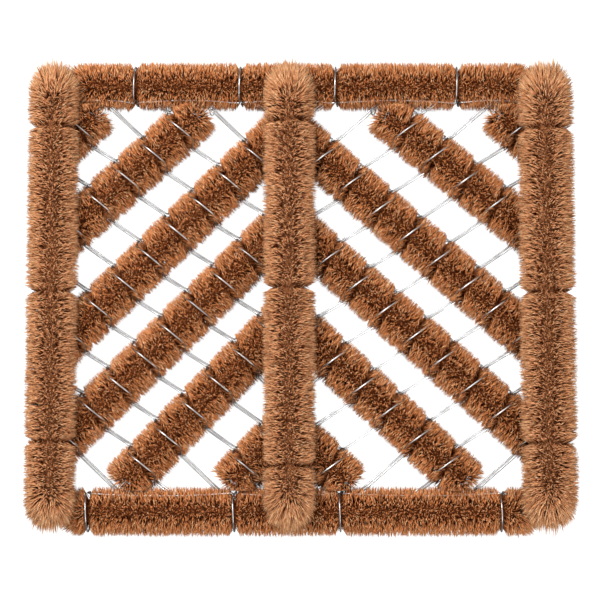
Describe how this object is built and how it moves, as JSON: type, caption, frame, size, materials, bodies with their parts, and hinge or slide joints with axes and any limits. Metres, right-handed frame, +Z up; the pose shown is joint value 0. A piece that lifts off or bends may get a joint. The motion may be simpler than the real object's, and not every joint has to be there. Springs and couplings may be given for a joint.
{
  "type": "door mat",
  "caption": "Open door mat of round coir brushes on twisted wire cores: uprights over end rails, slanted strips between them, bound with crossing wires.",
  "frame": {"origin": "middle of the mat's outline, on the floor it lies on", "axes": "+X along the two rails, +Y along the uprights towards the far rail, +Z up, away from the floor"},
  "size_m": [0.463, 0.4054, 0.07],
  "materials": {
    "upright_coir": "matt tan coir bristles, cut ends outwards",
    "lower_coir": "matt reddish brown coir bristles, darker between the fibres",
    "galvanised_wire": "bright galvanised drawn wire"
  },
  "bodies": {
    "root": {"centre_upright_bristles": "upright_coir", "centre_upright_core": "galvanised_wire", "centre_upright_tie_1": "galvanised_wire", "centre_upright_tie_2": "galvanised_wire", "centre_upright_tie_3": "galvanised_wire", "far_rail_binding": "galvanised_wire", "far_rail_bristles": "lower_coir", "far_rail_core": "galvanised_wire", "left_row_wire_10": "galvanised_wire", "left_row_wire_11": "galvanised_wire", "left_row_wire_8": "galvanised_wire", "left_row_wire_9": "galvanised_wire", "left_strip_1_bristles": "lower_coir", "left_strip_1_core": "galvanised_wire", "left_strip_2_bristles": "lower_coir", "left_strip_2_core": "galvanised_wire", "left_strip_3_bristles": "lower_coir", "left_strip_3_core": "galvanised_wire", "left_strip_4_bristles": "lower_coir", "left_strip_4_core": "galvanised_wire", "left_strip_5_bristles": "lower_coir", "left_strip_5_core": "galvanised_wire", "left_strip_6_bristles": "lower_coir", "left_strip_6_core": "galvanised_wire", "left_upright_bristles": "upright_coir", "left_upright_core": "galvanised_wire", "left_upright_tie_1": "galvanised_wire", "left_upright_tie_2": "galvanised_wire", "left_upright_tie_3": "galvanised_wire", "near_rail_binding": "galvanised_wire", "near_rail_bristles": "lower_coir", "near_rail_core": "galvanised_wire", "right_row_wire_10": "galvanised_wire", "right_row_wire_11": "galvanised_wire", "right_row_wire_8": "galvanised_wire", "right_row_wire_9": "galvanised_wire", "right_strip_1_bristles": "lower_coir", "right_strip_1_core": "galvanised_wire", "right_strip_2_bristles": "lower_coir", "right_strip_2_core": "galvanised_wire", "right_strip_3_bristles": "lower_coir", "right_strip_3_core": "galvanised_wire", "right_strip_4_bristles": "lower_coir", "right_strip_4_core": "galvanised_wire", "right_strip_5_bristles": "lower_coir", "right_strip_5_core": "galvanised_wire", "right_strip_6_bristles": "lower_coir", "right_strip_6_core": "galvanised_wire", "right_upright_bristles": "upright_coir", "right_upright_core": "galvanised_wire", "right_upright_tie_1": "galvanised_wire", "right_upright_tie_2": "galvanised_wire", "right_upright_tie_3": "galvanised_wire", "row_wire_1": "galvanised_wire", "row_wire_2": "galvanised_wire", "row_wire_3": "galvanised_wire", "row_wire_4": "galvanised_wire", "row_wire_5": "galvanised_wire", "row_wire_6": "galvanised_wire", "row_wire_7": "galvanised_wire"}
  },
  "joints": []
}
